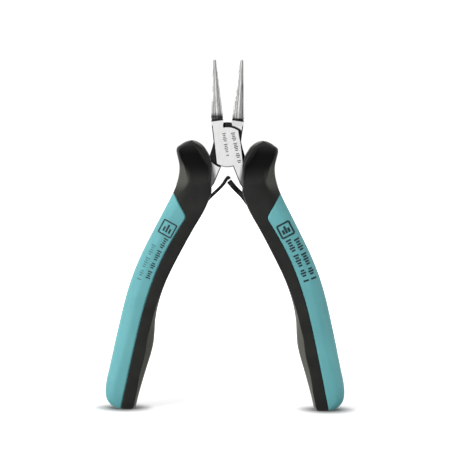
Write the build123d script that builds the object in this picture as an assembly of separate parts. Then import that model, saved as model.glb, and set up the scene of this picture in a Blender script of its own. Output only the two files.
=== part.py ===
from build123d import *
from math import sqrt
import os

# Round nose pliers: two equal steel halves on a lap joint, two leaf springs that
# open them, and on each handle a hard grip core inside a soft grip cover.
# Millimetres. The pliers stand open on their grip ends, with +Z up to the jaw
# tips, -Y to the front and the origin midway between the grip ends.

# ---- driving dimensions ----

PIVOT_HEIGHT = 100.0
OPENING_ANGLE = 15.7  # between the jaws' closed place and this open one, degrees

HEAD_THICKNESS = 7.6
PLATE_GAP = 0.1  # between the two lapped plates
JOINT_RADIUS = 7.7  # round shoulders of the lap joint
SEAM_GAP = 0.2  # between a shoulder and the plate that turns in it
STEP_RISE = 1.6  # how far each plate's inner layer reaches past its shoulder
STEP_DEPTH = 1.4  # from a plate's outer face down to that layer
HEAD_LEFT = 5.0
HEAD_RIGHT = 5.2
HEAD_WAIST = 3.2  # height where the arm starts to flare, from the pivot
EDGE_CHAMFER = 0.35

JAW_INNER = 0.25  # from the closed centre line to the jaw block
JAW_WIDTH = 4.5
JAW_ROOT_HEIGHT = 10.65  # above the pivot
JAW_BLOCK_THICKNESS = 6.4  # at the top of the block
JAW_TAPER_START = 8.3  # above the pivot, where the head starts to thin
JAW_TOP_CHAMFER = 0.5
CONE_TOP_HEIGHT = 33.3
CONE_BASE_RADIUS = 2.28
CONE_TIP_RADIUS = 0.6
CONE_TIP_CHAMFER = 0.3
CONE_TIP_GAP = 0.03  # from the centre line when closed
ROOT_GROOVE_RADIUS = 2.1
ROOT_GROOVE_HEIGHT = 0.35
ROOT_GROOVE_SLOPE = 0.2

TANG_THICKNESS = 4.4
TANG_JOINT_SPACE = 1.5  # kept clear round the joint
FULL_ARM_DEPTH = 17.0  # below the pivot, where the thick arm ends and the tang starts

SCREW_JOURNAL_RADIUS = 2.0
SCREW_THREAD_RADIUS = 1.5
SCREW_THREAD_LENGTH = 3.0
SCREW_HEAD_RADIUS = 3.1
SCREW_HEAD_HEIGHT = 1.4
SCREW_HEAD_CHAMFER = 0.3
RUNNING_CLEARANCE = 0.05
RECESS_CORE_RADIUS = 1.05
RECESS_LOBE_CIRCLE = 0.95
RECESS_LOBE_RADIUS = 0.42
RECESS_DEPTH = 0.9

LEAF_WIDTH = 5.0
LEFT_LEAF_THICKNESS = 0.8
RIGHT_LEAF_THICKNESS = 1.4
RIVET_RADIUS = 0.8
RIVET_HEAD_RADIUS = 1.5
RIVET_HEAD_HEIGHT = 0.5
RIVET_LENGTH = 3.0
LEAF_FOOT_SHARE = 0.12  # where a leaf comes to its seat, as a share of the seat's length
RIVET_SHARE = 0.55

COVER_JOINT_SPACE = 0.9  # kept clear of the soft cover round the joint
SLEEVE_WALL = 1.3
SLEEVE_TOP = 63.0

# Each station of a grip: height, nearest and farthest distance from the middle
# of the pliers, and thickness from front to back.
GRIP_STATIONS = [
    (0.0, 34.5, 41.4, 7.0),
    (1.2, 33.9, 43.2, 8.8),
    (3.4, 33.4, 44.9, 10.2),
    (6.5, 32.6, 45.5, 11.0),
    (15.6, 30.0, 44.1, 11.7),
    (24.7, 27.5, 42.2, 12.0),
    (33.8, 26.8, 40.2, 12.0),
    (42.9, 24.9, 38.0, 12.0),
    (52.1, 21.3, 35.1, 12.0),
    (61.2, 16.7, 31.2, 12.0),
    (70.3, 11.7, 26.6, 11.8),
    (77.1, 7.9, 23.1, 11.6),
    (82.5, 6.2, 20.4, 11.4),
    (88.5, 5.8, 18.4, 11.6),
    (93.5, 6.1, 18.2, 12.8),
    (97.5, 7.3, 19.1, 14.6),
    (99.9, 8.7, 18.7, 15.2),
    (101.4, 10.6, 15.6, 14.0),
    (102.4, 12.4, 14.2, 12.4),
]
GRIP_CORNER_SHARE = 0.34  # corner radius over the shorter side of a station

# Line where the hard core shows beside the soft cover: distance from the middle, height.
SEAM_TOP = (20.6, 83.0)
SEAM_CORNER = (15.2, 73.4)
SEAM_CORNER_RADIUS = 2.2
SEAM_LINE = [
    (19.9, 65.8),
    (24.7, 56.6),
    (28.3, 47.5),
    (31.1, 38.4),
    (33.6, 28.0),
    (36.3, 15.6),
    (39.6, 0.0),
]
PANEL_CUT_SIZE = 60.0  # the cutting face reaches this far out
PANEL_CUT_BELOW = 3.0
PANEL_CUT_ABOVE = 6.0

# Handle arm and tang, right of the pivot: distance from the middle, height from the pivot.
ARM_OUTER = [
    (5.75, -0.4),
    (7.0, -4.4),
    (10.2, -10.5),
    (16.6, -22.5),
    (22.6, -33.5),
    (29.2, -47.5),
    (33.7, -61.0),
    (36.0, -72.0),
]
ARM_INNER_START = 2.25  # where the arm's inner edge leaves the round plate
LEAF_SEAT_TOP = (9.8, -21.8)
LEAF_SEAT_END = (15.6, -32.0)
ARM_INNER = [
    (4.85, -13.8),
    LEAF_SEAT_TOP,
    LEAF_SEAT_END,
    (24.0, -47.6),
    (28.8, -61.0),
    (31.6, -72.0),
]
ARM_BEND_RADIUS = 6.0

# Bevel on the outer front edge of the arm.
BEVEL_TOP = (4.3, 6.3)
BEVEL_END = (6.45, -11.0)
BEVEL_ANGLE = 52.0
BEVEL_REACH = 3.5

# Leaf springs as they show between the grips: distance from the middle, height from the pivot.
LEFT_LEAF = [
    (0.6, -11.75),
    (-0.25, -12.5),
    (-1.1, -14.1),
    (-3.0, -16.2),
    (-6.3, -19.3),
]
RIGHT_LEAF = [(0.75, -12.9), (1.6, -14.4), (3.3, -16.1), (6.2, -18.9)]
LEAF_BEND_RADIUS = 1.0

# ---- helpers ----

HALF_OPENING = OPENING_ANGLE / 2
JAW_OUTER = JAW_INNER + JAW_WIDTH
AT_PIVOT = Pos(0, 0, PIVOT_HEIGHT)
OTHER_SIDE = Rot(0, 0, 180)
FROM_FOOT = (Align.CENTER, Align.CENTER, Align.MIN)


def slab(face, front, back):
    """A face drawn in X and Z, made solid from y = front to y = back."""
    plane = Plane(origin=(0, back, 0), x_dir=(1, 0, 0), z_dir=(0, -1, 0))
    return extrude(plane * face, amount=back - front)


def bevelled_slab(face, front, back, end):
    """A slab with one end's edges bevelled: end is 0 for its front, -1 for its back."""
    plate = slab(face, front, back)
    return chamfer(plate.faces().sort_by(Axis.Y)[end].edges(), EDGE_CHAMFER)


def on_circle(x, radius):
    """Height above the pivot of a circle about it."""
    return sqrt(radius * radius - x * x)


def from_front(solid_drawn_along_z, depth):
    """Turns a solid drawn along +Z at the origin so that it runs along +Y from y = depth at the pivot."""
    return Pos(0, depth, PIVOT_HEIGHT) * Rot(-90, 0, 0) * solid_drawn_along_z


# ---- steel halves ----


def opened(x, height):
    """Where a point of the closed front half lies once the pliers stand open."""
    return Vector(x, height).rotate(Axis.Z, HALF_OPENING)


def tang_edges():
    """Outer and inner edges of the handle arm and tang, from the head down."""
    outer = FilletPolyline(opened(HEAD_RIGHT, HEAD_WAIST), *ARM_OUTER, radius=ARM_BEND_RADIUS)
    inner_top = (ARM_INNER_START, -on_circle(ARM_INNER_START, JOINT_RADIUS))
    inner = FilletPolyline(inner_top, *ARM_INNER, radius=ARM_BEND_RADIUS)
    return outer, inner


def half_face():
    """Outline of the front half: jaw block, joint plate, arm and tang."""
    jaw_foot = opened(-JAW_INNER, on_circle(JAW_INNER, JOINT_RADIUS))
    shoulder = opened(HEAD_RIGHT, on_circle(HEAD_RIGHT, JOINT_RADIUS))
    heel = opened(-HEAD_LEFT, -on_circle(HEAD_LEFT, JOINT_RADIUS))
    root_inner = opened(-JAW_INNER, JAW_ROOT_HEIGHT)
    root_outer = opened(-JAW_OUTER, JAW_ROOT_HEIGHT)
    outer, inner = tang_edges()
    outline = [
        Line(root_inner, jaw_foot),
        RadiusArc(jaw_foot, shoulder, JOINT_RADIUS),
        Line(shoulder, outer @ 0),
        outer,
        Line(outer @ 1, inner @ 1),
        inner,
        RadiusArc(inner @ 0, heel, JOINT_RADIUS),
        Line(heel, root_outer),
        Line(root_outer, root_inner),
    ]
    return make_face(outline)


def tang_face():
    """Outline of the arm and tang alone."""
    outer, inner = tang_edges()
    return make_face([outer, inner, Line(outer @ 1, inner @ 1), Line(inner @ 0, outer @ 0)])


def cone_jaw():
    """Round jaw with a shallow groove at its root, jaws closed."""
    foot = Vector(-JAW_INNER - CONE_BASE_RADIUS, 0, JAW_ROOT_HEIGHT)
    tip = Vector(-CONE_TIP_GAP - CONE_TIP_RADIUS, 0, CONE_TOP_HEIGHT)
    along = Plane(origin=foot, z_dir=tip - foot)
    sunk = 1.0  # into the jaw block
    length = (tip - foot).length
    profile = Polyline(
        (0, -sunk),
        (ROOT_GROOVE_RADIUS, -sunk),
        (ROOT_GROOVE_RADIUS, ROOT_GROOVE_HEIGHT),
        (CONE_BASE_RADIUS, ROOT_GROOVE_HEIGHT + ROOT_GROOVE_SLOPE),
        (CONE_TIP_RADIUS, length - CONE_TIP_CHAMFER),
        (CONE_TIP_RADIUS - CONE_TIP_CHAMFER, length),
        (0, length),
        (0, -sunk),
    )
    return along * revolve(Plane.XZ * make_face(profile), Axis.Z)


def jaw_side_taper():
    """The space that the head keeps to when it thins towards the jaws."""
    half, thin = HEAD_THICKNESS / 2, JAW_BLOCK_THICKNESS / 2
    low = -PIVOT_HEIGHT
    side = Polyline(
        (-half, low),
        (half, low),
        (half, JAW_TAPER_START),
        (thin, JAW_ROOT_HEIGHT - JAW_TOP_CHAMFER),
        (thin - JAW_TOP_CHAMFER, JAW_ROOT_HEIGHT),
        (JAW_TOP_CHAMFER - thin, JAW_ROOT_HEIGHT),
        (-thin, JAW_ROOT_HEIGHT - JAW_TOP_CHAMFER),
        (-half, JAW_TAPER_START),
        (-half, low),
    )
    return extrude(Plane.YZ * make_face(side), amount=PIVOT_HEIGHT, both=True)


def step_layer():
    """The inner layer of the front plate, which reaches past its shoulder beside the jaw block."""
    reach = JOINT_RADIUS + STEP_RISE
    strip = Pos(-JAW_INNER, 0) * Rectangle(JAW_WIDTH, reach, align=(Align.MIN, Align.MIN))
    face = Rot(0, 0, HALF_OPENING) * (Circle(reach) & strip)
    return bevelled_slab(face, STEP_DEPTH - HEAD_THICKNESS / 2, -PLATE_GAP / 2, 0)


def step_room():
    """The room in the jaw block for the other plate's inner layer."""
    reach = JOINT_RADIUS + STEP_RISE + SEAM_GAP
    face = Circle(reach) & Rectangle(3 * reach, reach, align=(Align.CENTER, Align.MIN))
    return slab(face, -PLATE_GAP / 2, HEAD_THICKNESS / 2 - STEP_DEPTH + PLATE_GAP)


def arm_bevel():
    """What the bevel takes off the outer front edge of the arm."""
    top = Vector(BEVEL_TOP[0], -HEAD_THICKNESS / 2, BEVEL_TOP[1])
    end = Vector(BEVEL_END[0], -HEAD_THICKNESS / 2, BEVEL_END[1])
    down = (end - top).normalized()
    outward = Vector(-down.Z, 0, down.X)
    plane = Plane(origin=top, x_dir=outward, z_dir=down)
    slope = Vector(BEVEL_REACH, 0).rotate(Axis.Z, -BEVEL_ANGLE)
    clear = 1.0  # past the arm's faces
    section = Polyline(
        (0, 0),
        (0, clear),
        (BEVEL_REACH + clear, clear),
        (BEVEL_REACH + clear, slope.Y),
        (slope.X, slope.Y),
        (0, 0),
    )
    return extrude(plane * make_face(section), amount=(end - top).length)


def steel_half():
    """The front half before its pivot hole: left jaw, front plate, right arm and tang."""
    half = HEAD_THICKNESS / 2
    wide = 2 * PIVOT_HEIGHT
    above_tang = Pos(0, -FULL_ARM_DEPTH) * Rectangle(wide, wide, align=(Align.CENTER, Align.MIN))
    thick = half_face() & above_tang
    turned_by_other = thick - Circle(JOINT_RADIUS + SEAM_GAP)
    plate = bevelled_slab(thick, -half, -PLATE_GAP / 2, 0)
    for face in turned_by_other.faces():
        plate += bevelled_slab(face, -PLATE_GAP / 2, half, -1)
    plate = plate - step_room() + step_layer()
    tang_outline = tang_face() - Circle(JOINT_RADIUS + TANG_JOINT_SPACE)
    tang = slab(tang_outline, -TANG_THICKNESS / 2, TANG_THICKNESS / 2)
    turned = Rot(0, -HALF_OPENING, 0)
    body = (plate + tang) & (turned * jaw_side_taper())
    body = body - arm_bevel()
    return body + turned * cone_jaw()


def thread_hole():
    """Blind hole for the pivot screw's thread, in the front plate."""
    hole = Cylinder(SCREW_THREAD_RADIUS, SCREW_THREAD_LENGTH, align=FROM_FOOT)
    return from_front(hole, -PLATE_GAP / 2 - SCREW_THREAD_LENGTH)


def journal_hole():
    """Bore and head seat in the back plate."""
    bore = Cylinder(SCREW_JOURNAL_RADIUS + RUNNING_CLEARANCE, HEAD_THICKNESS)
    seat_radius = SCREW_HEAD_RADIUS + 2 * RUNNING_CLEARANCE
    seat = Cylinder(seat_radius, HEAD_THICKNESS, align=FROM_FOOT)
    seat_depth = HEAD_THICKNESS / 2 - SCREW_HEAD_HEIGHT - 2 * RUNNING_CLEARANCE
    return from_front(bore, HEAD_THICKNESS / 2) + from_front(seat, seat_depth)


def pivot_screw():
    """Shoulder screw from the back: thread in the front plate, journal in the back plate."""
    thread = Cylinder(SCREW_THREAD_RADIUS, SCREW_THREAD_LENGTH, align=FROM_FOOT)
    journal_length = HEAD_THICKNESS / 2 + PLATE_GAP / 2 - SCREW_HEAD_HEIGHT
    journal = Cylinder(SCREW_JOURNAL_RADIUS, journal_length, align=FROM_FOOT)
    journal = Pos(0, 0, SCREW_THREAD_LENGTH) * journal
    head_foot = SCREW_THREAD_LENGTH + journal_length
    head = Cylinder(SCREW_HEAD_RADIUS, SCREW_HEAD_HEIGHT, align=FROM_FOOT)
    head = Pos(0, 0, head_foot) * head
    head = chamfer(head.edges().sort_by(Axis.Z)[-1], SCREW_HEAD_CHAMFER)
    lobes = PolarLocations(RECESS_LOBE_CIRCLE, 6) * Circle(RECESS_LOBE_RADIUS)
    star = Circle(RECESS_CORE_RADIUS) + lobes
    recess = Pos(0, 0, head_foot + SCREW_HEAD_HEIGHT - RECESS_DEPTH) * extrude(star, RECESS_DEPTH)
    return from_front(thread + journal + head - recess, -PLATE_GAP / 2 - SCREW_THREAD_LENGTH)


# ---- springs and their rivets ----


def leaf_seat(side):
    """The straight seat of a leaf on the tang: its top, end and inward direction, on one side."""
    top = Vector(side * LEAF_SEAT_TOP[0], LEAF_SEAT_TOP[1])
    end = Vector(side * LEAF_SEAT_END[0], LEAF_SEAT_END[1])
    along = (end - top).normalized()
    return top, end, Vector(side * along.Y, -side * along.X)


def leaf_spring(points, thickness, side):
    """Bent steel strip from its free end to the seat on the tang, with its rivet hole."""
    top, end, inward = leaf_seat(side)
    seat_start = top + (end - top) * LEAF_FOOT_SHARE + inward * thickness / 2
    seat_end = end + inward * thickness / 2
    path = FilletPolyline(*points, seat_start, seat_end, radius=LEAF_BEND_RADIUS)
    strip = slab(trace(path, line_width=thickness), -LEAF_WIDTH / 2, LEAF_WIDTH / 2)
    return AT_PIVOT * strip - spring_rivet(thickness, side)


def spring_rivet(thickness, side):
    """Flat-headed rivet through the leaf into the tang."""
    top, end, inward = leaf_seat(side)
    seat = top + (end - top) * RIVET_SHARE
    head_base = seat + inward * thickness
    head_top = head_base + inward * RIVET_HEAD_HEIGHT
    plane = Plane(origin=(head_top.X, 0, head_top.Y + PIVOT_HEIGHT), z_dir=(-inward.X, 0, -inward.Y))
    head = Cylinder(RIVET_HEAD_RADIUS, RIVET_HEAD_HEIGHT, align=FROM_FOOT)
    shank = Cylinder(RIVET_RADIUS, RIVET_HEAD_HEIGHT + thickness + RIVET_LENGTH, align=FROM_FOOT)
    return plane * (head + shank)


# ---- grips ----


def grip_envelope():
    """Outer shape of the right grip, soft horn at the top."""
    sections = []
    for height, near, far, thickness in GRIP_STATIONS:
        width = far - near
        corner = GRIP_CORNER_SHARE * min(width, thickness)
        sections.append(Pos((near + far) / 2, 0, height) * RectangleRounded(width, thickness, corner))
    return loft(sections)


def core_panel():
    """The space outside the seam line, where the hard core is on show."""
    bottom = SEAM_LINE[-1]
    outline = [
        Line(SEAM_TOP, SEAM_CORNER),
        Spline(SEAM_CORNER, *SEAM_LINE),
        Polyline(
            bottom,
            (bottom[0], -PANEL_CUT_BELOW),
            (PANEL_CUT_SIZE, -PANEL_CUT_BELOW),
            (PANEL_CUT_SIZE, SEAM_TOP[1] + PANEL_CUT_ABOVE),
            (SEAM_TOP[0] + PANEL_CUT_ABOVE / 2, SEAM_TOP[1] + PANEL_CUT_ABOVE),
            SEAM_TOP,
        ),
    ]
    face = make_face(outline)
    corner = face.vertices().sort_by_distance((SEAM_CORNER[0], SEAM_CORNER[1], 0))[0]
    return slab(fillet(corner, SEAM_CORNER_RADIUS), -PANEL_CUT_SIZE, PANEL_CUT_SIZE)


def grip_sleeve():
    """The hidden part of the core that holds the tang."""
    wide = 2 * PIVOT_HEIGHT
    below_top = Pos(0, SLEEVE_TOP - PIVOT_HEIGHT) * Rectangle(wide, wide, align=(Align.CENTER, Align.MAX))
    around = offset(tang_face() & below_top, SLEEVE_WALL)
    half = TANG_THICKNESS / 2 + SLEEVE_WALL
    return AT_PIVOT * slab(around & below_top, -half, half)


# ---- all pieces ----

right_blank = AT_PIVOT * steel_half()
left_blank = OTHER_SIDE * right_blank
right_rivet = spring_rivet(RIGHT_LEAF_THICKNESS, 1)
left_rivet = spring_rivet(LEFT_LEAF_THICKNESS, -1)
front_half = right_blank - thread_hole() - right_rivet
back_half = left_blank - journal_hole() - left_rivet
right_leaf = leaf_spring(RIGHT_LEAF, RIGHT_LEAF_THICKNESS, 1)
left_leaf = leaf_spring(LEFT_LEAF, LEFT_LEAF_THICKNESS, -1)

envelope = grip_envelope()
core_blank = (envelope & core_panel()) + (envelope & grip_sleeve())
joint_room = slab(Circle(JOINT_RADIUS + COVER_JOINT_SPACE), -HEAD_THICKNESS / 2, HEAD_THICKNESS / 2)
cover_blank = envelope - core_blank - AT_PIVOT * joint_room
right_core = core_blank - right_blank - right_rivet
right_cover = cover_blank - right_blank - right_leaf - right_rivet
left_core = OTHER_SIDE * core_blank - left_blank - left_rivet
left_cover = OTHER_SIDE * cover_blank - left_blank - left_leaf - left_rivet

nodes = {
    "front_half": front_half,
    "back_half": back_half,
    "pivot_screw": pivot_screw(),
    "right_leaf_spring": right_leaf,
    "left_leaf_spring": left_leaf,
    "right_spring_rivet": right_rivet,
    "left_spring_rivet": left_rivet,
    "right_grip_core": right_core,
    "left_grip_core": left_core,
    "right_grip_cover": right_cover,
    "left_grip_cover": left_cover,
}

os.makedirs("parts", exist_ok=True)
for name, solid in nodes.items():
    export_step(solid, f"parts/{name}.step")
    print(name, len(solid.solids()), round(solid.volume, 1))
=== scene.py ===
"""Round nose pliers with two-colour moulded grips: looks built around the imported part.
Lengths in the shape code are millimetres, and meshes are written in metres."""

import math

import bpy
import numpy as np
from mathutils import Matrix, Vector


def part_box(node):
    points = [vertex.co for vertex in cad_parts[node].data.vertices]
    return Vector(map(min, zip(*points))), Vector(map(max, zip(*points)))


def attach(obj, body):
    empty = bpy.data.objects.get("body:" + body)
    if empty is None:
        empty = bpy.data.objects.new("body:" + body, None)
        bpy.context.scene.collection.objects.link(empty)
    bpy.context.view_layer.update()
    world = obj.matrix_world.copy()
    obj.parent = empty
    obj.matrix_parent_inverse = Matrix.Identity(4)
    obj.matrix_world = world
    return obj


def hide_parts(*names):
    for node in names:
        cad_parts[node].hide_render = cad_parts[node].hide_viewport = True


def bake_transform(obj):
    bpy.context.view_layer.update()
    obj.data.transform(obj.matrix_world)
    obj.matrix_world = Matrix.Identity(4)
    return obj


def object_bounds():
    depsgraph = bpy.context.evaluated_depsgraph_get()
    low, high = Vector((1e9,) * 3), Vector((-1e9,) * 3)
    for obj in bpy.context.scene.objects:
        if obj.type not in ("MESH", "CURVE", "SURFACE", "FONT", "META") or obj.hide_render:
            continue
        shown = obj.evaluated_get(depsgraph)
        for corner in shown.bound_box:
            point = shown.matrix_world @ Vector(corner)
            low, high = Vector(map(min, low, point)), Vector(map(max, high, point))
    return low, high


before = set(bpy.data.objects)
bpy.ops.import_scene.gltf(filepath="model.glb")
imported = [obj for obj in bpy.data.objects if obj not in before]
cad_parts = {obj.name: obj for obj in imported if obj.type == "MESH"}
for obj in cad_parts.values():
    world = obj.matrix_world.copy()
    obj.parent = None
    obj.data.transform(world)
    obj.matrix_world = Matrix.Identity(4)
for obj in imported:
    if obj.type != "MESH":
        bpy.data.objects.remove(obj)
cad_low, cad_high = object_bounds()

MM = 0.001
SIDES = {"left": -1, "right": 1}
GRIP_BODY = {"left": "back_body", "right": "front_body"}
PIVOT_HEIGHT = 100.0
CONE_ROOT_HEIGHT = 110.65

# ---------------------------------------------------------------- small tools


def curve(points, at):
    """A smooth curve through (position, value) points, flat past both ends."""
    xs = np.array([p[0] for p in points], float)
    ys = np.array([p[1] for p in points], float)
    slopes = np.gradient(ys, xs)
    at = np.clip(np.asarray(at, float), xs[0], xs[-1])
    i = np.clip(np.searchsorted(xs, at, side="right") - 1, 0, len(xs) - 2)
    width = xs[i + 1] - xs[i]
    t = (at - xs[i]) / width
    start = ys[i] * (1 + 2 * t) * (1 - t) ** 2 + slopes[i] * width * t * (1 - t) ** 2
    end = ys[i + 1] * t**2 * (3 - 2 * t) - slopes[i + 1] * width * t**2 * (1 - t)
    return start + end


def smooth_step(low, high, x):
    t = np.clip((np.asarray(x, float) - low) / (high - low), 0, 1)
    return t * t * (3 - 2 * t)


def add_mesh(name, points, faces, material, sharp_angle):
    """A shaded piece from points in millimetres, with edges sharper than an angle in degrees left hard."""
    mesh = bpy.data.meshes.new(name)
    mesh.from_pydata([tuple(p) for p in np.asarray(points) * MM], [], faces)
    mesh.validate()
    mesh.polygons.foreach_set("use_smooth", [True] * len(mesh.polygons))
    mesh.set_sharp_from_angle(angle=math.radians(sharp_angle))
    mesh.materials.append(material)
    piece = bpy.data.objects.new(name, mesh)
    bpy.context.scene.collection.objects.link(piece)
    return piece


def skin(rings, flip):
    """Points and outward faces of closed rings joined in order, with a fan over each end."""
    count = len(rings[0])
    points = np.concatenate([*rings, [rings[0].mean(0)], [rings[-1].mean(0)]])
    faces = []
    for r in range(len(rings) - 1):
        for k in range(count):
            a, b = r * count + k, r * count + (k + 1) % count
            faces.append((a, b, b + count, a + count))
    bottom, top = len(points) - 2, len(points) - 1
    last = (len(rings) - 1) * count
    for k in range(count):
        faces.append((bottom, (k + 1) % count, k))
        faces.append((top, last + k, last + (k + 1) % count))
    if flip:
        faces = [f[::-1] for f in faces]
    return points, faces


# ---------------------------------------------------------------- materials


NOISE_REACH = (0.3, 0.7)  # what most of a noise texture's values lie between


class Tree:
    """Short ways to add nodes to a material or to the world."""

    def __init__(self, node_tree):
        self.nodes = node_tree.nodes
        self.links = node_tree.links

    def node(self, kind, inputs=None, **settings):
        made = self.nodes.new(kind)
        for key, value in settings.items():
            setattr(made, key, value)
        for key, value in (inputs or {}).items():
            if isinstance(value, bpy.types.NodeSocket):
                self.links.new(value, made.inputs[key])
            else:
                made.inputs[key].default_value = value
        return made

    def span(self, value, low, high, to_low, to_high, smooth=False):
        """The value carried from one range to another, and held at its ends."""
        kind = "SMOOTHSTEP" if smooth else "LINEAR"
        inputs = {
            "Value": value,
            "From Min": low,
            "From Max": high,
            "To Min": to_low,
            "To Max": to_high,
        }
        return self.node("ShaderNodeMapRange", inputs, interpolation_type=kind).outputs["Result"]

    def math(self, operation, a, b=0.0):
        return self.node("ShaderNodeMath", {0: a, 1: b}, operation=operation).outputs["Value"]

    def mix(self, share, a, b):
        """Colour a where the share is 0 and b where it is 1."""
        return self.node("ShaderNodeMix", {0: share, 6: a, 7: b}, data_type="RGBA").outputs[2]

    def ramp(self, value, stops):
        """A colour ramp through (position, colour) stops, the first at 0 and the last at 1."""
        made = self.node("ShaderNodeValToRGB", {0: value})
        elements = made.color_ramp.elements
        elements[0].color = stops[0][1]
        elements[1].color = stops[-1][1]
        for position, colour in stops[1:-1]:
            elements.new(position).color = colour
        return made.outputs["Color"]


class Look(Tree):
    """A node material under construction: a Principled shader with noise-driven inputs."""

    def __init__(self, name, **values):
        self.material = bpy.data.materials.new(name)
        self.material.use_nodes = True
        super().__init__(self.material.node_tree)
        self.shader = self.nodes["Principled BSDF"]
        for socket, value in values.items():
            self.shader.inputs[socket.replace("_", " ")].default_value = value
        coordinates = self.nodes.new("ShaderNodeTexCoord")
        self.place = coordinates.outputs["Object"]
        self.normal = coordinates.outputs["Normal"]

    def noise(self, scale, detail=3.0, rough=0.55, stretch=(1, 1, 1)):
        spread = self.node("ShaderNodeMapping", {"Vector": self.place, "Scale": stretch})
        inputs = {
            "Vector": spread.outputs["Vector"],
            "Scale": scale,
            "Detail": detail,
            "Roughness": rough,
        }
        return self.node("ShaderNodeTexNoise", inputs).outputs["Fac"]

    def axis(self, letter):
        return self.node("ShaderNodeSeparateXYZ", {0: self.place}).outputs[letter]

    def feed(self, socket, value):
        self.links.new(value, self.shader.inputs[socket])

    def bump(self, *layers):
        """Bump from (height, distance in millimetres) layers, the last one on top."""
        below = None
        for height, distance in layers:
            inputs = {"Height": height, "Distance": distance * MM, "Strength": 1.0}
            if below is not None:
                inputs["Normal"] = below
            below = self.node("ShaderNodeBump", inputs).outputs["Normal"]
        self.feed("Normal", below)


def grey(value, tint=(1, 1, 1)):
    return tuple(value * t for t in tint) + (1.0,)


# The cones are polished from here up, and the halves are satin below.
POLISH_START = ((CONE_ROOT_HEIGHT - 0.2) * MM, (CONE_ROOT_HEIGHT + 0.4) * MM)
# Painted reflection streaks along a cone, light and dark: how far its surface turns to the right, and the
# steel's tone.
CONE_REFLECTION_STREAKS = [(-1, 0.85), (-0.77, 0.95), (-0.58, 1.0), (-0.47, 0.9), (-0.38, 0.55), (-0.2, 0.44)]
CONE_REFLECTION_STREAKS += [(-0.1, 0.8), (0.02, 1.0), (0.1, 0.7), (0.17, 0.66), (0.26, 1.0), (0.58, 1.0), (0.68, 0.5)]
CONE_REFLECTION_STREAKS += [(0.76, 0.5), (0.86, 0.8), (1, 0.8)]
# The painted dark ring at a cone's root, a painted reflection of the shoulder: where it fades out, and the
# right one's share.
ROOT_FADE = ((CONE_ROOT_HEIGHT + 0.4) * MM, (CONE_ROOT_HEIGHT + 2.8) * MM)
ROOT_SIDES = (-2 * MM, 2 * MM)  # between them the left cone's share gives way to the right one's
ROOT_RIGHT = 0.25
ROOT_SHADE_TONE = (0.025, (1.0, 1.0, 0.8))
# Painted shade on the halves: on the joint's inner faces, which lie nearer the middle plane than this and
# face front or back, and on the edges, which face neither front or back nor down.
INNER_DEPTH = (2.5 * MM, 2.9 * MM)
INNER_FACING = (0.6, 0.9)
EDGE_FACING = (0.80, 0.92)
EDGE_RISE = (-0.45, -0.15)
# The horns' shade on the arms: it starts farther from the middle higher up, and farther on the right.
HORN_SHADE_HEIGHT = 93.0 * MM
HORN_SHADE_LEAN = 0.2
HORN_SHADE_SHIFT = 0.3 * MM
HORN_SHADE_REACH = (4.8 * MM, 6.1 * MM)
HORN_SHADE_DEPTH = 0.85
# The tone of the painted shade on the halves and of the horns' painted shade on the arms.
PAINTED_SHADE_TONE = 0.03


def painted_shade_share(look, turned):
    """Where shade is painted on the halves: on the joint's inner faces and on their edges."""
    facing = look.math("ABSOLUTE", turned["Y"])
    deep = look.math("ABSOLUTE", look.axis("Y"))
    inside = look.span(facing, *INNER_FACING, 0, 1)
    inside = look.math("MULTIPLY", inside, look.span(deep, *INNER_DEPTH, 1, 0))
    edges = look.span(facing, *EDGE_FACING, 1, 0)
    edges = look.math("MULTIPLY", edges, look.span(turned["Z"], *EDGE_RISE, 0, 1))
    return look.math("MAXIMUM", inside, edges)


def horn_shade(look, height):
    """How much the horns' shade darkens the arms."""
    lean = look.math("MULTIPLY", look.math("SUBTRACT", HORN_SHADE_HEIGHT, height), HORN_SHADE_LEAN)
    aside = look.math("ABSOLUTE", look.math("SUBTRACT", look.axis("X"), HORN_SHADE_SHIFT))
    return look.span(look.math("ADD", aside, lean), *HORN_SHADE_REACH, 0, HORN_SHADE_DEPTH)


def painted_root_shade(look, height, polished):
    """How much the painted dark ring darkens a cone, most of all at its root."""
    root = look.span(height, *ROOT_FADE, 1.0, 0, True)
    root = look.math("MULTIPLY", root, look.span(look.axis("X"), *ROOT_SIDES, 1.0, ROOT_RIGHT))
    return look.math("MULTIPLY", root, polished)


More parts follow.
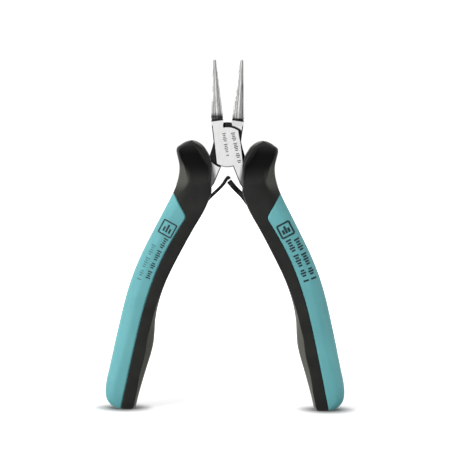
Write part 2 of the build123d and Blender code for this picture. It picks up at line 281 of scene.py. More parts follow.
def steel_look():
    """Satin plates with a brushed grain, painted shade on the joint's inner faces, on the edges and on the
    arms under the horns, and cones with painted reflection streaks and a painted dark ring at the root.
    """
    look = Look("satin_steel", Metallic=1.0)
    height = look.axis("Z")
    polished = look.span(height, *POLISH_START, 0, 1)
    satin = look.span(polished, 0, 1, 1, 0)
    cloud = look.noise(260, detail=4)
    grain = look.noise(2600, detail=4, stretch=(1, 1, 0.16))
    turned = look.node("ShaderNodeSeparateXYZ", {0: look.normal}).outputs

    patches = look.span(cloud, *NOISE_REACH, 0, 1)
    satin_tone = look.mix(patches, grey(0.93), grey(0.98, (1, 0.995, 0.985)))
    # Painted reflection: the cones' tone follows the way their surface turns.
    streaks = [((turn + 1) / 2, grey(tone, (1, 1, 0.98))) for turn, tone in CONE_REFLECTION_STREAKS]
    painted_reflection = look.ramp(look.span(turned["X"], -1, 1, 0, 1), streaks)
    cone_tone = look.mix(look.span(cloud, *NOISE_REACH, 0, 0.12), painted_reflection, grey(0.6))
    tone = look.mix(polished, satin_tone, cone_tone)
    # Painted shade on the joint's inner faces and edges, below the cones.
    black = look.math("MULTIPLY", painted_shade_share(look, turned), satin)
    tone = look.mix(black, tone, grey(PAINTED_SHADE_TONE))
    tone = look.mix(horn_shade(look, height), tone, grey(PAINTED_SHADE_TONE))
    tone = look.mix(painted_root_shade(look, height, polished), tone, grey(*ROOT_SHADE_TONE))
    look.feed("Base Color", tone)

    satin_rough = look.span(grain, *NOISE_REACH, 0.30, 0.44)
    cone_rough = look.span(grain, *NOISE_REACH, 0.15, 0.25)
    both = look.node("ShaderNodeMix", {0: polished, 2: satin_rough, 3: cone_rough}, data_type="FLOAT")
    look.feed("Roughness", both.outputs[0])
    scratches = look.math("MULTIPLY", grain, look.span(polished, 0, 1, 1, 0.2))
    flutes = look.math("MULTIPLY", look.noise(1900, detail=2, stretch=(1, 1, 0.02)), polished)
    look.bump((cloud, 0.02), (flutes, 0.12), (scratches, 0.012))
    return look.material


def dark_steel_look(name, low, high, rough):
    """Spring or screw steel: dark oil-blacked metal with worn patches."""
    look = Look(name, Metallic=1.0)
    cloud = look.noise(420, detail=5)
    grain = look.noise(5200, detail=3, stretch=(1, 1, 0.3))
    look.feed("Base Color", look.mix(look.span(cloud, 0.35, 0.7, 0, 1), grey(low), grey(high)))
    look.feed("Roughness", look.span(grain, *NOISE_REACH, rough - 0.06, rough + 0.08))
    look.bump((cloud, 0.02), (grain, 0.012))
    return look.material


def teal_look():
    """Hard moulded plastic with a fine spark-eroded grain and slight colour drift."""
    look = Look("teal_plastic", IOR=1.5, Specular_IOR_Level=0.8)
    drift = look.noise(60, detail=3)
    speck = look.noise(3600, detail=4, rough=0.65)
    light, deep = (0.102, 0.365, 0.385, 1), (0.078, 0.300, 0.325, 1)
    tone = look.mix(look.span(drift, *NOISE_REACH, 0, 1), light, deep)
    tone = look.mix(look.span(speck, 0.35, 0.75, 0, 0.25), tone, (0.14, 0.42, 0.44, 1))
    look.feed("Base Color", tone)
    look.feed("Roughness", look.span(speck, *NOISE_REACH, 0.36, 0.50))
    look.bump((drift, 0.04), (speck, 0.02))
    return look.material


# Values stored on the covers' points, from 0 to 1: the share of painted shade in the thumb scoop and of
# painted highlight on the bevels.
SCOOP_SHADE_LAYER = "scoop_shade"
BEVEL_HIGHLIGHT_LAYER = "bevel_highlight"
# The tone of the painted highlight on the bevels.
BEVEL_HIGHLIGHT_TONE = (0.085, (1.0, 1.03, 0.88))
# The tone of the painted shade in the thumb scoop.
SCOOP_SHADE_TONE = 0.002


def cover_look():
    """Soft dark elastomer: matt grain, dusty patches, a painted highlight on the bevels, and painted shade
    in a more matt thumb scoop.
    """
    sheen = {"Sheen_Weight": 0.45, "Sheen_Roughness": 0.35}
    look = Look("dark_elastomer", IOR=1.5, Specular_IOR_Level=0.2, **sheen)
    look.shader.inputs["Sheen Tint"].default_value = (0.85, 0.9, 0.78, 1)
    patch = look.noise(150, detail=5)
    grain = look.noise(3000, detail=5, rough=0.7)
    clean, dusty = (0.009, 0.010, 0.009, 1), (0.018, 0.019, 0.017, 1)
    tone = look.mix(look.span(patch, 0.35, 0.75, 0, 1), clean, dusty)
    tone = look.mix(look.span(grain, 0.4, 0.8, 0, 0.3), tone, (0.036, 0.037, 0.033, 1))
    # Painted shade in the thumb scoop, stored on the points.
    scoop_shade = look.node("ShaderNodeAttribute", attribute_name=SCOOP_SHADE_LAYER).outputs["Fac"]
    # Painted highlight on the bevels, stored on the points and broken up by the grain.
    bevel_highlight = look.node("ShaderNodeAttribute", attribute_name=BEVEL_HIGHLIGHT_LAYER).outputs["Fac"]
    bevel_highlight = look.math("MULTIPLY", bevel_highlight, look.span(grain, 0.25, 0.65, 0.7, 1.0))
    tone = look.mix(bevel_highlight, tone, grey(*BEVEL_HIGHLIGHT_TONE))
    look.feed("Base Color", look.mix(scoop_shade, tone, grey(SCOOP_SHADE_TONE)))
    matt = look.span(grain, *NOISE_REACH, 0.40, 0.56)
    look.feed("Roughness", look.math("ADD", matt, look.span(scoop_shade, 0, 1, 0, 0.3)))
    look.bump((patch, 0.05), (grain, 0.03))
    return look.material


def ink_look(name, low, high, rough):
    """Printed or etched marks, a little uneven."""
    look = Look(name)
    worn = look.noise(1500, detail=4)
    look.feed("Base Color", look.mix(look.span(worn, *NOISE_REACH, 0, 1), low, high))
    look.feed("Roughness", look.span(worn, *NOISE_REACH, rough - 0.08, rough + 0.08))
    look.bump((worn, 0.01))
    return look.material


# The floor's painted contact shadow: how far the occlusion reaches, and how sharply it darkens.
FLOOR_CONTACT_REACH = 7 * MM
FLOOR_CONTACT_POWER = 2.5
FLOOR_GLOW = (0.06, 0.30, 0.31, 0.9)  # from this distance to that one, from this strength to that one


def floor_look():
    """A pale glowing sheet with a tight painted contact shadow under the grips, from an occlusion node, and
    bright enough far off to have no edge.
    """
    look = Look("pale_floor", Roughness=0.85, Emission_Color=grey(1.0))
    nearby = {"Distance": FLOOR_CONTACT_REACH}
    open_sky = look.node("ShaderNodeAmbientOcclusion", nearby, samples=16).outputs["AO"]
    # Painted contact shadow: the floor's glow and colour darken where the grips hide its sky.
    contact = look.math("POWER", open_sky, FLOOR_CONTACT_POWER)
    away = look.node("ShaderNodeVectorMath", {0: look.place}, operation="LENGTH").outputs["Value"]
    look.feed("Emission Strength", look.math("MULTIPLY", look.span(away, *FLOOR_GLOW), contact))
    cloud = look.noise(3, detail=2)
    pale = look.mix(cloud, grey(0.90), grey(0.93))
    look.feed("Base Color", look.mix(contact, grey(0.2), pale))
    look.bump((cloud, 0.2))
    return look.material


steel = steel_look()
spring_steel = dark_steel_look("black_spring_steel", 0.012, 0.04, 0.36)
screw_steel = dark_steel_look("screw_steel", 0.28, 0.42, 0.30)
teal = teal_look()
elastomer = cover_look()
etching = ink_look("plate_etching", grey(0.10), grey(0.20), 0.6)
print_dark = ink_look("panel_print", (0.004, 0.018, 0.022, 1), (0.010, 0.034, 0.040, 1), 0.5)
print_faint = ink_look("panel_print_faint", (0.030, 0.120, 0.125, 1), (0.060, 0.190, 0.200, 1), 0.5)

# ---------------------------------------------------------------- grips

# Heights where the CAD grip is measured.
MEASURED = [0.02, 0.6, 1.2, 2.2, 3.4, 5, 6.5, 10, 15.6, 20, 24.7, 29, 33.8, 38, 42.9, 47.5, 52.1, 56.5]
MEASURED += [61.2, 66, 70.3, 74, 77.1, 80, 82.5, 85.5, 88.5, 91, 93.5, 95.5, 97.5, 98.7, 99.9, 100.7, 101.4]
MEASURED += [102.0, 102.39]
# The bevel between the side that faces the other grip and the front face: (height, width), (height, depth).
INNER_BEVEL = [(0, 0.7), (6.5, 0.9), (13, 1.7), (20, 2.1), (27, 2.4), (33.8, 1.1), (40, 0.5), (60, 0.45)]
INNER_BEVEL += [(82, 0.45), (88, 0.6), (92, 1.0), (96, 1.4), (102.4, 1.5)]
INNER_DROP = [(0, 2.4), (20, 3.6), (34, 3.0), (45, 1.6), (82, 1.6), (92, 2.6), (102.4, 3.0)]
# The bevel between the front face and the outer side.
OUTER_BEVEL = [(0, 2.0), (20, 3.0), (60, 3.0), (80, 3.2), (86, 4.6), (88.5, 4.6), (92, 3.6), (95.6, 2.2)]
OUTER_BEVEL += [(99, 1.6), (102.4, 1.0)]
OUTER_DROP = [(0, 2.0), (20, 3.0), (60, 3.0), (80, 3.2), (88, 4.2), (94, 4.2), (99, 2.5), (102.4, 1.5)]
FACE_CROWN = 0.3
CROWN_INSIDE = 0.6  # the crown's share that lies inside the measured half depth
# How far the soft cover swells towards the arms beyond the measured sections.
HORN_BULGE = [(78, 0), (86, 0.55), (94, 0.6), (98.7, 0)]
# The thumb scoop under the rim of the horn: half depth of its floor, and the rim's width beside it.
SCOOP_FLOOR = [(82, 7.6), (84, 6.6), (86, 5.8), (88, 5.2), (91, 4.75), (94, 4.75), (96.5, 5.3), (98.5, 6.3)]
SCOOP_FLOOR += [(99.8, 7.2), (101, 8.4), (103, 11)]
SCOOP_START = 82.5
SCOOP_BLEND = 6.0
SCOOP_DEPTH = (0.2, 1.8)  # below the half depth: where the scoop's shade starts, and where it is full
SCOOP_BELOW = (-0.9, -0.15)  # the same from below the scoop's floor
SCOOP_ABOVE = (0.2, 1.6)  # the shade ends this far above the floor
RIM_START = 80
RIM_STEP = 0.1
RIM_WIDTH_INNER = [(82, 0.8), (88, 1.1), (92, 1.7), (94, 2.2), (96, 2.8), (98, 3.0), (102.4, 2.1)]
RIM_WIDTH_OUTER = 1.5
RIM_SLOPE = 1.3
GRIP_TOP = 102.4
CREST_START = 100.6
CREST_MIDDLE = 13.4
SEAM_GROOVE = 0.35
SEAM_GROOVE_WIDTH = 0.28
SEAM_GROOVE_FADE = 1.2  # the groove dies out this near the outer side
SEAM_GAP = 0.06
SEAM_HIGHEST = 83.0
SEAM_LAST_MEASURED = 82.6
CORE_TOP = 82.75
SEAM_SAMPLES = 100
SEAM_CROWDING = 1.6  # how closely the samples crowd towards the seam
SEAM_SLACK = 1e-4
FACE_SHARE = 0.8  # of the half depth: what lies beyond belongs to the front or back face
WIDEST_BEVEL = 0.42  # of the section's width
DEEPEST_DROP = (0.6, 0.7)  # of the half depth, for the inner and the outer bevel
CORNER_REACHES = [1.6, 0.3, 2.4, 2.4]  # how far each corner of a section is rounded
TINY = 1e-6


def slice_reach(node, height):
    """For each height: the CAD node's least and greatest distance from the middle plane, its half depth,
    and the least distance on its front and back faces."""
    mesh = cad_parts[node].data
    points = np.array([v.co for v in mesh.vertices]) / MM
    edges = np.array([e.vertices[:] for e in mesh.edges])
    return [reach_at(points[edges[:, 0]], points[edges[:, 1]], z) for z in height]


def reach_at(start, end, z):
    crossing = (start[:, 2] - z) * (end[:, 2] - z) <= 0
    a, b = start[crossing], end[crossing]
    rise = np.where(np.abs(b[:, 2] - a[:, 2]) < TINY, TINY, b[:, 2] - a[:, 2])
    t = np.clip((z - a[:, 2]) / rise, 0, 1)[:, None]
    met = np.abs(a + (b - a) * t)
    half = met[:, 1].max()
    face = met[met[:, 1] > FACE_SHARE * half, 0]
    return met[:, 0].min(), met[:, 0].max(), half, face.min()


# The seam bends most where the panel's top corner is, so it is measured more closely there.
SEAM_MEASURED = [z for z in MEASURED if z < SEAM_LAST_MEASURED] + [64, 68.5, 71.5, 72.5, 73, 73.5, 75, 81.5]
SEAM_MEASURED.sort()
cover_reach = dict(zip(MEASURED, slice_reach("left_grip_cover", MEASURED)))
core_reach = dict(zip(SEAM_MEASURED, slice_reach("left_grip_core", SEAM_MEASURED)))
no_reach = (0, 0, 0, 0)
NEAR = [(z, r[0] - float(curve(HORN_BULGE, z))) for z, r in cover_reach.items()]
FAR = [(z, max(r[1], core_reach.get(z, no_reach)[1])) for z, r in cover_reach.items()]
HALF = [(z, max(r[2], core_reach.get(z, no_reach)[2])) for z, r in cover_reach.items()]
SEAM = [(z, r[3]) for z, r in core_reach.items()]
SEAM.append((SEAM_HIGHEST, float(curve(FAR, SEAM_HIGHEST))))


def grip_reach(z):
    """Nearest and farthest distance from the middle at each height, with the horn's top rounded over."""
    z = np.asarray(z, float)
    near, far = curve(NEAR, np.minimum(z, CREST_START)), curve(FAR, np.minimum(z, CREST_START))
    left = np.sqrt(np.clip((GRIP_TOP - z) / (GRIP_TOP - CREST_START), 0, 1))
    return CREST_MIDDLE + (near - CREST_MIDDLE) * left, CREST_MIDDLE + (far - CREST_MIDDLE) * left


rim_heights = np.arange(RIM_START, GRIP_TOP, RIM_STEP)
rim_near, rim_far = grip_reach(rim_heights)
RIM_POINTS = np.concatenate(
    [
        np.stack([rim_near, rim_heights, curve(RIM_WIDTH_INNER, rim_heights)], 1),
        np.stack([rim_far, rim_heights, np.full(len(rim_heights), RIM_WIDTH_OUTER)], 1),
    ]
)


LONGEST_REACH = 0.48  # of a run, so that two rounded corners don't meet


def rounded(corners, reaches, counts):
    """A line through corners, each rounded off over its reach; counts are samples per run and corner."""
    corners = [np.array(c, float) for c in corners]
    line = []
    at = corners[0]
    for i, corner in enumerate(corners[1:-1]):
        back, ahead = corners[i] - corner, corners[i + 2] - corner
        back_length, ahead_length = np.linalg.norm(back), np.linalg.norm(ahead)
        reach = min(reaches[i], LONGEST_REACH * back_length, LONGEST_REACH * ahead_length)
        start = corner + back / back_length * reach
        end = corner + ahead / ahead_length * reach
        t = np.linspace(0, 1, counts[2 * i], endpoint=False)[:, None]
        line.append(at + (start - at) * t)
        t = np.linspace(0, 1, counts[2 * i + 1], endpoint=False)[:, None]
        line.append(start * (1 - t) ** 2 + 2 * corner * t * (1 - t) + end * t**2)
        at = end
    t = np.linspace(0, 1, counts[-1])[:, None]
    line.append(at + (corners[-1] - at) * t)
    return np.concatenate(line)


RUN_COUNTS = [8, 8, 8, 6, 80, 16, 8, 16, 12]
RIDGE_INDEX = sum(RUN_COUNTS[:4])  # where the front face starts


def half_section(z):
    """Half of the grip's outline at a height: (distance, depth) from the near side to the far side."""
    near, far = (float(value) for value in grip_reach(z))
    half = float(curve(HALF, z))
    widest = WIDEST_BEVEL * (far - near)
    inner = min(float(curve(INNER_BEVEL, z)), widest)
    outer = min(float(curve(OUTER_BEVEL, z)), widest)
    inner_drop = min(float(curve(INNER_DROP, z)), DEEPEST_DROP[0] * half)
    outer_drop = min(float(curve(OUTER_DROP, z)), DEEPEST_DROP[1] * half)
    flat = half - FACE_CROWN * CROWN_INSIDE
    corners = [
        (near, 0),
        (near, flat - inner_drop),
        (near + inner, flat),
        (far - outer, flat),
        (far, flat - outer_drop),
        (far, 0),
    ]
    line = rounded(corners, CORNER_REACHES, RUN_COUNTS)
    across = np.clip((line[:, 0] - near - inner) / (far - outer - near - inner), 0, 1)
    line[:, 1] += FACE_CROWN * 4 * across * (1 - across)
    if z > SCOOP_START:
        floor = float(curve(SCOOP_FLOOR, z))
        apart = np.hypot(line[:, :1] - RIM_POINTS[:, 0], z - RIM_POINTS[:, 1])
        wall = np.maximum(0, (RIM_POINTS[:, 2] - apart).max(1))
        line[:, 1] = np.minimum(line[:, 1], floor + RIM_SLOPE * wall)
    return line


def scoop_shade_share(points):
    """How far points of the grip lie down in the thumb scoop, from 0 at its rim to 1 at its floor: the
    share of painted shade there.
    """
    depth, z = np.abs(points[:, 1]), points[:, 2]
    above_floor = depth - curve(SCOOP_FLOOR, z)
    on_floor = smooth_step(*SCOOP_BELOW, above_floor) * (1 - smooth_step(*SCOOP_ABOVE, above_floor))
    deep = smooth_step(*SCOOP_DEPTH, curve(HALF, z) - depth)
    return on_floor * deep * smooth_step(SCOOP_START, SCOOP_START + SCOOP_BLEND, z)


HIGHLIGHT_INNER_EDGE = (0.9, 0.15)  # the painted highlight fades from this share of the bevel's width to this far past it
HIGHLIGHT_OUTER_EDGE = (1.2, 0.3)  # from this far inside the bevel's edge to this far past it
HIGHLIGHT_LOW_END = (36, 46)
HIGHLIGHT_HORN_START = (82, 87)
HIGHLIGHT_HORN_END = (91, 96)
HIGHLIGHT_HORN_SHARE = 0.8


def bevel_highlight_share(points):
    """How much painted highlight points of the grip get: the bevel towards the other grip, and the horn's
    outer bevel.
    """
    across, z = np.abs(points[:, 0]), points[:, 2]
    near, far = grip_reach(z)
    bevel = curve(INNER_BEVEL, z)
    inner = 1 - smooth_step(bevel * HIGHLIGHT_INNER_EDGE[0], bevel + HIGHLIGHT_INNER_EDGE[1], across - near)
    bevel = curve(OUTER_BEVEL, z)
    outer = 1 - smooth_step(bevel - HIGHLIGHT_OUTER_EDGE[0], bevel + HIGHLIGHT_OUTER_EDGE[1], far - across)
    low = 1 - smooth_step(*HIGHLIGHT_LOW_END, z)
    horn = smooth_step(*HIGHLIGHT_HORN_START, z) * (1 - smooth_step(*HIGHLIGHT_HORN_END, z))
    return inner * low + outer * horn * HIGHLIGHT_HORN_SHARE


def split_section(z):
    """The half section cut at the seam: (near part, far part), each with a fixed number of points."""
    line = half_section(z)
    near_part, tail = line[:RIDGE_INDEX], line[RIDGE_INDEX:]
    run = np.concatenate([[0], np.cumsum(np.linalg.norm(np.diff(tail, axis=0), axis=1))])
    seam = float(curve(SEAM, z)) if z < SEAM_HIGHEST else math.inf
    past = np.nonzero(tail[:, 0] >= min(seam, tail[:, 0].max() - SEAM_SLACK))[0][0]
    if past > 0:
        step = tail[past, 0] - tail[past - 1, 0]
        share = (min(seam, tail[past, 0]) - tail[past - 1, 0]) / max(step, TINY)
        cut = run[past - 1] + share * (run[past] - run[past - 1])
    else:
        cut = 0.0
    t = np.linspace(0, 1, SEAM_SAMPLES)
    before = cut * (1 - (1 - t) ** SEAM_CROWDING)
    after = cut + (run[-1] - cut) * t**SEAM_CROWDING
    depth = SEAM_GROOVE * float(smooth_step(0, SEAM_GROOVE_FADE, tail[:, 0].max() - seam))

    def on_tail(at):
        made = np.stack([np.interp(at, run, tail[:, 0]), np.interp(at, run, tail[:, 1])], 1)
        made[:, 1] -= depth * np.exp(-((np.abs(at - cut) / SEAM_GROOVE_WIDTH) ** 2))
        return made

    return np.concatenate([near_part, on_tail(before)]), on_tail(after)


WALL_COUNT = 8  # points across the wall that closes a ring at the seam


def ring(half_line, z, side, wall_shift):
    """A closed ring from a half section that starts at depth 0 or at the seam, mirrored front to back."""
    from_middle = half_line[0, 1] < TINY
    to_middle = half_line[-1, 1] < TINY
    front = half_line * (1, -1)
    back = half_line[::-1]
    if from_middle:
        back = back[:-1]
    if to_middle:
        back = back[1:]
    flat = np.concatenate([front, back])
    seam_end = half_line[-1] if from_middle else half_line[0]
    if seam_end[1] > TINY:
        t = np.linspace(0, 1, WALL_COUNT + 2)[1:-1]
        wall = np.stack([np.full(WALL_COUNT, seam_end[0] + wall_shift), seam_end[1] * (1 - 2 * t)], 1)
        if from_middle:
            middle = len(half_line)
            wall[:, 1] *= -1
            flat = np.concatenate([flat[:middle], wall, flat[middle:]])
        else:
            flat = np.concatenate([flat, wall])
    return np.stack([flat[:, 0] * side, flat[:, 1], np.full(len(flat), z)], 1)


DOME_SHARES = (0.94, 0.8, 0.55, 0.25)
CREST_RISE = 0.01


def domed(rings, rise, at_top):
    """Rings shrunk towards an end's middle, so that the end closes without a rim."""
    edge = rings[-1] if at_top else rings[0]
    middle = edge.mean(0)
    extra = []
    for share in DOME_SHARES:
        made = middle + (edge - middle) * (share, share, 0)
        made[:, 2] = edge[:, 2] + rise * (1 - share**2)
        extra.append(made)
    return [*rings, *extra] if at_top else [*extra[::-1], *rings]


CREST_RINGS = 16
CREST_LOW = 101.4
GRIP_SHARP = 55


def ring_heights():
    """Heights of the grip's rings: closest at the horn's crest, and close at the foot and up the horn."""
    parts = [
        np.arange(0.02, 3, 0.2),
        np.arange(3, 70, 0.5),
        np.arange(70, 84, 0.3),
        np.arange(84, CREST_LOW, 0.18),
        GRIP_TOP - (GRIP_TOP - CREST_LOW) * np.linspace(1, 0.12, CREST_RINGS) ** 2,
    ]
    return np.concatenate(parts)


def build_grip(side_name):
    side = SIDES[side_name]
    cover_rings, core_rings = [], []
    for z in ring_heights():
        near_part, far_part = split_section(z)
        cover_rings.append(ring(near_part, z, side, -SEAM_GAP))
        if z < CORE_TOP:
            core_rings.append(ring(far_part, z, side, 0.0))
    cover_rings = domed(domed(cover_rings, CREST_RISE, True), 0.0, False)
    core_rings = domed(domed(core_rings, 0.0, True), 0.0, False)
    for part, rings, material, slot in (
        ("cover", cover_rings, elastomer, "cover_rubber"),
        ("core", core_rings, teal, "core_plastic"),
    ):
        points, faces = skin(rings, flip=side < 0)
        piece = add_mesh(f"{side_name}_{part}_moulding", points, faces, material, GRIP_SHARP)
        if part == "cover":
            # The painted scoop shade and the painted bevel highlight are stored on the cover's points.
            for layer, amount in ((SCOOP_SHADE_LAYER, scoop_shade_share(points)), (BEVEL_HIGHLIGHT_LAYER, bevel_highlight_share(points))):
                attribute = piece.data.attributes.new(layer, "FLOAT", "POINT")
                attribute.data.foreach_set("value", amount)
        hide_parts(f"{side_name}_grip_{part}")
        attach(piece, GRIP_BODY[side_name])


for name in SIDES:
    build_grip(name)

# ---------------------------------------------------------------- steel parts

CAD_LOOKS = {
    "front_half": steel,
    "back_half": steel,
    "left_spring_rivet": spring_steel,
    "right_spring_rivet": spring_steel,
    "pivot_screw": screw_steel,
}
for node, material in CAD_LOOKS.items():
    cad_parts[node].data.materials.clear()
    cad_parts[node].data.materials.append(material)

# ---------------------------------------------------------------- leaf springs

# Each leaf from its free end down: distance right of the middle, height from the pivot.
LEAF_LINE = {
    "left": [(1.0, -12.15), (0.4, -11.4), (-0.6, -12.8), (-1.4, -14.2), (-3.1, -16.0), (-6.4, -19.1)],
    "right": [(0.8, -12.95), (1.85, -14.3), (3.3, -15.9), (6.2, -18.7)],
}
LEAF_THICKNESS = {"left": 1.15, "right": 1.9}
LEAF_WIDTH = 5.0
LEAF_SEAT = (Vector((9.8, -21.8)), Vector((15.6, -32.0)))  # top and end, on the right tang
LEAF_FOOT_SHARE = 0.12
LEAF_BEND_REACH = 1.6
LEAF_EDGE = 0.16  # how far its edges are rounded
LEAF_COUNTS = (5, 7, 12)  # samples in a run, in a bend, and in the last run
LEAF_TURNS = np.radians(np.arange(-75, 256, 30))  # round the section, three for each of its corners
LEAF_SHARP = 40


def leaf_path(side_name):
    """The leaf's middle line, as in LEAF_LINE, with its last run on the tang."""
    side = SIDES[side_name]
    top, end = (Vector((side * p.x, p.y)) for p in LEAF_SEAT)
    along = (end - top).normalized()
    lifted = Vector((along.y, -along.x)) * side * LEAF_THICKNESS[side_name] / 2
    foot = top + (end - top) * LEAF_FOOT_SHARE + lifted
    corners = [*LEAF_LINE[side_name], foot, end + lifted]
    bends = len(corners) - 2
    counts = [*LEAF_COUNTS[:2] * bends, LEAF_COUNTS[2]]
    return rounded(corners, [LEAF_BEND_REACH] * bends, counts)


def leaf_ring(middle, along, thickness, share):
    """The strip's rounded section at a point of its path, shrunk to a share of its size."""
    made = []
    for turn in LEAF_TURNS:
        way = np.sign([math.cos(turn), math.sin(turn)])
        a = way[0] * (thickness / 2 - LEAF_EDGE) + LEAF_EDGE * math.cos(turn)
        b = way[1] * (LEAF_WIDTH / 2 - LEAF_EDGE) + LEAF_EDGE * math.sin(turn)
        shrink = LEAF_EDGE * (1 - share)
        a -= way[0] * shrink
        b -= way[1] * shrink
        made.append((middle[0] + along[1] * a, b, middle[1] - along[0] * a + PIVOT_HEIGHT))
    return np.array(made)


def build_leaf(side_name):
    path = leaf_path(side_name)
    thickness = LEAF_THICKNESS[side_name]
    ways = np.gradient(path, axis=0)
    ways /= np.linalg.norm(ways, axis=1)[:, None]
    rings = [leaf_ring(path[0], ways[0], thickness, 0)]
    rings.append(leaf_ring(path[0] + ways[0] * LEAF_EDGE, ways[0], thickness, 1))
    rings += [leaf_ring(p, w, thickness, 1) for p, w in zip(path[1:-1], ways[1:-1])]
    rings.append(leaf_ring(path[-1] - ways[-1] * LEAF_EDGE, ways[-1], thickness, 1))
    rings.append(leaf_ring(path[-1], ways[-1], thickness, 0))
    points, faces = skin(rings, flip=False)
    leaf = add_mesh(f"{side_name}_leaf", points, faces, spring_steel, LEAF_SHARP)
    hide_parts(f"{side_name}_leaf_spring")
    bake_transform(leaf)


for name in SIDES:
    build_leaf(name)

# ---------------------------------------------------------------- marks

MARK_PROUD = 0.07  # above the surface
MARK_SUNK = 0.05  # into it
MARK_STEP = 0.6
MARK_SHARP = 30
# A repeating run of tick heights, as shares of the row's height; 0 leaves a gap.
TICKS = [1, 0.7, 0.7, 1, 0.7, 0, 1, 0.7, 1, 0.7, 0.7, 0, 0.7, 1, 0.7, 0]
TICK_LOOK_AHEAD = 0.02  # of the row's length, to find its direction


def panel_front(across, z):
    """Depth of the hard panel's front face at a distance from the middle and a height."""
    tail = half_section(z)[RIDGE_INDEX:]
    widest = int(np.argmax(tail[:, 0])) + 1
    return -float(np.interp(abs(across), tail[:widest, 0], tail[:widest, 1]))


plate_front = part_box("front_half")[0][1] / MM


def stroke_rings(start, end, width, front_at):
    """A flat stroke laid on a surface: start and end as (distance, height)."""
    start, end = np.array(start, float), np.array(end, float)
    length = np.linalg.norm(end - start)
    along = (end - start) / length
    aside = np.array([-along[1], along[0]]) * width / 2
    rings = []
    for t in np.linspace(0, 1, int(length / MARK_STEP) + 2):
        middle = start + (end - start) * t
        a, b = middle + aside, middle - aside
        front_a, front_b = front_at(*a), front_at(*b)
        corners = [
            (a[0], front_a - MARK_PROUD, a[1]),
            (b[0], front_b - MARK_PROUD, b[1]),
            (b[0], front_b + MARK_SUNK, b[1]),
            (a[0], front_a + MARK_SUNK, a[1]),
        ]
        rings.append(np.array(corners))
    return rings


def add_marks(name, strokes, front_at, material, body):
    """One piece from many (start, end, width) strokes on a surface."""
    all_points, all_faces = [], []
    count = 0
    for start, end, width in strokes:
        points, faces = skin(stroke_rings(start, end, width, front_at), flip=False)
        all_points.append(points)
        all_faces += [tuple(i + count for i in face) for face in faces]
        count += len(points)
    piece = add_mesh(name, np.concatenate(all_points), all_faces, material, MARK_SHARP)
    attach(piece, body)


def tick_row(point_at, start, end, height, thick, pitch):
    """Ticks along a line: point_at gives (distance, height) for a number that runs from start to end."""
    first, last = np.array(point_at(start)), np.array(point_at(end))
    count = int(np.linalg.norm(last - first) / pitch)
    strokes = []
    for i in range(count):
        share = TICKS[i % len(TICKS)] / 2
        if share == 0:
            continue
        at = start + (end - start) * (i + 0.5) / count
        spot = np.array(point_at(at))
        way = np.array(point_at(at + (end - start) * TICK_LOOK_AHEAD)) - spot
        way /= np.linalg.norm(way)
        across = np.array([-way[1], way[0]]) * height * share
        strokes.append((spot - across, spot + across, thick))
    return strokes


def on_panel(side, share):
    """A line down a grip's hard panel, at a share of the way from its seam to its outer side."""
    return lambda z: (side * float(curve(SEAM, z) * (1 - share) + curve(FAR, z) * share), z)


BADGE_BARS = [(-0.45, 0.15), (0.0, 0.6), (0.45, 0.15)]  # where each bar stands, and its top
BADGE_BAR_FOOT = -0.55
BADGE_BAR_THICKER = 1.3


def badge(centre, way, size, thick):
    """A plain square outline with a bar chart of three strokes in it."""
    centre = np.array(centre)
    up = np.array(way) / np.linalg.norm(way)
    right = np.array([up[1], -up[0]])

    def spot(u, v):
        return centre + (right * u + up * v) * size / 2

    square = [(-1, -1), (1, -1), (1, 1), (-1, 1), (-1, -1)]
    strokes = [(spot(*a), spot(*b), thick) for a, b in zip(square, square[1:])]
    for u, top in BADGE_BARS:
        strokes.append((spot(u, BADGE_BAR_FOOT), spot(u, top), thick * BADGE_BAR_THICKER))
    return strokes


BADGE_SHARE = 0.46  # of the way from the seam to the outer side
BADGE_HEIGHT = 69.0
BADGE_STANDS_TOWARDS = 60.0  # its foot points at the panel's middle at this height
BADGE_SIZE = {"left": (5.2, 0.5), "right": (5.0, 0.7)}  # width and line width
# Rows down the panels: share of the way, top and bottom, and the ticks' height, thickness and pitch.
PANEL_ROWS = {
    "left": [(0.27, 65.4, 50.0, 1.7, 0.46, 0.84)],
    "right": [(0.33, 65.4, 49.4, 2.1, 0.68, 1.0), (0.71, 65.9, 50.4, 2.1, 0.68, 1.0)],
}
SMALL_ROW = (0.64, 63.0, 49.5, 1.6, 0.42, 0.84)
# Rows down the joint plate: (distance, height) of the top and bottom, and the ticks as above.
PLATE_ROWS = [
    ((-1.45, 105.3), (0.2, 96.5), (1.4, 0.38, 0.66)),
    ((1.95, 105.5), (4.7, 93.9), (1.6, 0.40, 0.66)),
]


def panel_row(side_name, share, *row):
    return tick_row(on_panel(SIDES[side_name], share), *row)


def mark_panel(side_name):
    middle = on_panel(SIDES[side_name], BADGE_SHARE)
    foot, centre = np.array(middle(BADGE_STANDS_TOWARDS)), np.array(middle(BADGE_HEIGHT))
    strokes = badge(centre, centre - foot, *BADGE_SIZE[side_name])
    for row in PANEL_ROWS[side_name]:
        strokes += panel_row(side_name, *row)
    body = GRIP_BODY[side_name]
    add_marks(f"{side_name}_panel_print", strokes, panel_front, print_dark, body)


def mark_left_panel_small():
    strokes = panel_row("left", *SMALL_ROW)
    add_marks("left_panel_small_print", strokes, panel_front, print_faint, "back_body")


def mark_plate():
    def flat(across, z):
        return plate_front

    strokes = []
    for top, bottom, ticks in PLATE_ROWS:
        top, bottom = np.array(top), np.array(bottom)
        strokes += tick_row(lambda t: top + (bottom - top) * t, 0, 1, *ticks)
    add_marks("plate_etching", strokes, flat, etching, "front_body")


mark_panel("left")
mark_left_panel_small()
mark_panel("right")
mark_plate()

# ---------------------------------------------------------------- studio

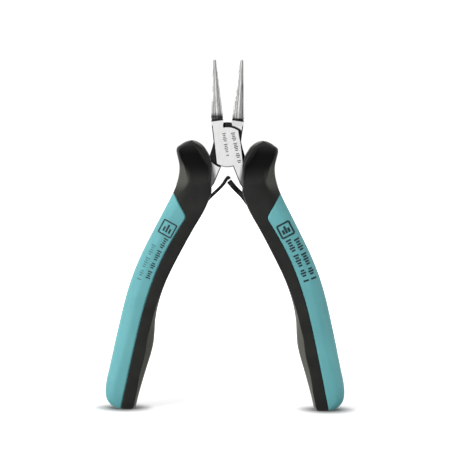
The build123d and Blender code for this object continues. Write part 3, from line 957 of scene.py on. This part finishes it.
OBJECT_SHARE = 0.532
LENS = 135
SENSOR = 36
CAMERA_ELEVATION = 3.0
CAMERA_ROLL = 0.55
CAMERA_CLIP = (0.01, 20)
AIM = Vector((-0.6 * MM, 0, 70.3 * MM))

# Brightness of the room by the turn away from the front or back, from 0 to 1 at the sides.
ROOM_BAND = [(0.0, 1.25), (0.20, 1.12), (0.29, 0.52), (0.42, 0.48), (0.50, 0.85), (0.80, 0.80)]
ROOM_BAND += [(0.88, 0.12), (1.0, 0.10)]
ROOM_ABOVE = 1.0
ROOM_CEILING = (0.32, 0.5)  # the band gives way to it between these heights of a direction
ROOM_BELOW = 0.35
ROOM_GROUND = (-0.5, -0.22)
ROOM_RIGHT = 0.45  # the right side's share of all that
ROOM_RIGHT_START = (-0.15, 0.35)
BACKDROP = 1.05  # what the camera sees


def add_camera():
    data = bpy.data.cameras.new("camera")
    data.lens = LENS
    data.sensor_width = SENSOR
    camera = bpy.data.objects.new("camera", data)
    bpy.context.scene.collection.objects.link(camera)
    frame_width = (cad_high.x - cad_low.x) / OBJECT_SHARE
    distance = frame_width * LENS / SENSOR
    tilt = math.radians(CAMERA_ELEVATION)
    back = Vector((0, -math.cos(tilt), math.sin(tilt)))
    camera.location = AIM + back * distance
    camera.rotation_euler = (-back).to_track_quat("-Z", "Y").to_euler()
    camera.rotation_euler.rotate_axis("Z", math.radians(CAMERA_ROLL))
    data.clip_start, data.clip_end = CAMERA_CLIP
    bpy.context.scene.camera = camera


LIGHT_AIM = Vector((0, 0, 0.07))
# Soft boxes: place, size, watts, and whether polished metal shows them.
LIGHTS = {
    "key": ((-0.52, -0.55, 0.20), (0.25, 0.5), 4.0, False),
    "side": ((-0.62, -0.20, 0.06), (0.25, 0.4), 1.5, False),
    "fill": ((0.65, -0.18, 0.14), (0.25, 0.5), 2.2, False),
    "rim_right": ((0.55, 0.30, 0.12), (0.20, 0.4), 0.3, True),
    "rim_left": ((-0.55, 0.30, 0.12), (0.20, 0.4), 0.3, True),
}


def add_light(name, place, size, watts, mirrored):
    data = bpy.data.lights.new(name, "AREA")
    data.shape = "RECTANGLE"
    data.size, data.size_y = size
    data.energy = watts
    light = bpy.data.objects.new(name, data)
    bpy.context.scene.collection.objects.link(light)
    light.location = place
    light.rotation_euler = (LIGHT_AIM - Vector(place)).to_track_quat("-Z", "Y").to_euler()
    light.visible_camera = False
    light.visible_glossy = mirrored


def add_world():
    """White to the camera; to the object a bright room with darker gaps between the soft boxes."""
    world = bpy.data.worlds.new("studio")
    bpy.context.scene.world = world
    world.use_nodes = True
    tree = Tree(world.node_tree)
    tree.nodes.clear()
    way = tree.node("ShaderNodeTexCoord").outputs["Generated"]
    split = tree.node("ShaderNodeSeparateXYZ", {0: way}).outputs
    sideways = tree.math("ABSOLUTE", split["X"])
    forward = tree.math("ABSOLUTE", split["Y"])
    turn = tree.math("MULTIPLY", tree.math("ARCTAN2", sideways, forward), 2 / math.pi)
    band = tree.ramp(turn, [(position, grey(value)) for position, value in ROOM_BAND])
    walls = tree.mix(tree.span(split["Z"], *ROOM_GROUND, 0, 1), grey(ROOM_BELOW), band)
    room = tree.mix(tree.span(split["Z"], *ROOM_CEILING, 0, 1), walls, grey(ROOM_ABOVE))
    lit = tree.span(split["X"], *ROOM_RIGHT_START, 1.0, ROOM_RIGHT)
    room = tree.mix(lit, grey(0.0), room)
    seen = tree.node("ShaderNodeLightPath").outputs["Is Camera Ray"]
    background = tree.node("ShaderNodeBackground", {"Color": tree.mix(seen, room, grey(BACKDROP))})
    tree.node("ShaderNodeOutputWorld", {"Surface": background.outputs[0]})


FLOOR_REACH = 3.0


def add_floor():
    mesh = bpy.data.meshes.new("floor")
    corners = [(x * FLOOR_REACH, y * FLOOR_REACH, 0) for x, y in ((-1, -1), (1, -1), (1, 1), (-1, 1))]
    mesh.from_pydata(corners, [], [(0, 1, 2, 3)])
    mesh.materials.append(floor_look())
    floor = bpy.data.objects.new("floor", mesh)
    bpy.context.scene.collection.objects.link(floor)
    floor.visible_diffuse = False
    floor.visible_glossy = False


add_camera()
add_world()
add_floor()
for name, light in LIGHTS.items():
    add_light(name, *light)
bpy.context.scene.view_settings.view_transform = "Standard"
